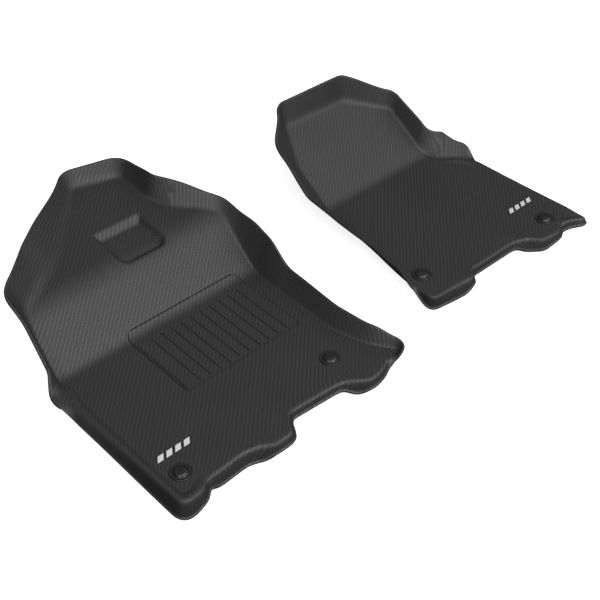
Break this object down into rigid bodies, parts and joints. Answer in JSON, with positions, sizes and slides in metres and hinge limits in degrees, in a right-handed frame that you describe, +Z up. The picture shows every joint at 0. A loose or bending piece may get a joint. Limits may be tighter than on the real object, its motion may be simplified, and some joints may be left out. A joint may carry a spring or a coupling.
{
  "type": "floor mat set",
  "caption": "Moulded front floor mats with raised edges, ramped toe ends, a ribbed heel pad and turning anchor caps.",
  "frame": {"origin": "centre of the set's bounding box, on the ground the mats stand on", "axes": "+X to the vehicle's right, +Y to its front, +Z up; the driver's mat is on the left"},
  "size_m": [1.1996, 0.8018, 0.157],
  "materials": {
    "skin": "fine woven grain, satin",
    "core": "foam",
    "backing": "needled fibre",
    "heel_pad": "ribbed, satin",
    "badge": "satin",
    "anchor": "smooth satin",
    "ring": "drawn wire"
  },
  "bodies": {
    "driver_mat": {"driver_skin": "skin", "driver_core": "core", "driver_backing": "backing", "driver_heel_pad": "heel_pad", "driver_badge": "badge"},
    "passenger_mat": {"passenger_skin": "skin", "passenger_core": "core", "passenger_backing": "backing", "passenger_badge": "badge"},
    "driver_outboard_anchor": {"driver_outboard_anchor_cap": "anchor", "driver_outboard_anchor_socket": "anchor", "driver_outboard_anchor_ring": "ring"},
    "driver_inboard_anchor": {"driver_inboard_anchor_cap": "anchor", "driver_inboard_anchor_socket": "anchor", "driver_inboard_anchor_ring": "ring"},
    "passenger_inboard_anchor": {"passenger_inboard_anchor_cap": "anchor", "passenger_inboard_anchor_socket": "anchor", "passenger_inboard_anchor_ring": "ring"},
    "passenger_outboard_anchor": {"passenger_outboard_anchor_cap": "anchor", "passenger_outboard_anchor_socket": "anchor", "passenger_outboard_anchor_ring": "ring"}
  },
  "joints": [
    {"name": "passenger_mat_lift", "type": "slide", "parent": "driver_mat", "child": "passenger_mat", "axis": [0, 0, 1], "range_m": [0, 0.25]},
    {"name": "driver_outboard_anchor_swivel", "type": "hinge", "parent": "driver_mat", "child": "driver_outboard_anchor", "pos_m": [-0.52607, -0.32413, 0.03242], "axis": [0, 0.0785, 0.9969], "continuous": true},
    {"name": "driver_inboard_anchor_swivel", "type": "hinge", "parent": "driver_mat", "child": "driver_inboard_anchor", "pos_m": [-0.13628, -0.29197, 0.02988], "axis": [0, 0.0785, 0.9969], "continuous": true},
    {"name": "passenger_inboard_anchor_swivel", "type": "hinge", "parent": "passenger_mat", "child": "passenger_inboard_anchor", "pos_m": [0.17695, -0.23963, 0.02895], "axis": [0, 0.0785, 0.9969], "continuous": true},
    {"name": "passenger_outboard_anchor_swivel", "type": "hinge", "parent": "passenger_mat", "child": "passenger_outboard_anchor", "pos_m": [0.51957, -0.29022, 0.03293], "axis": [0, 0.0785, 0.9969], "continuous": true}
  ]
}
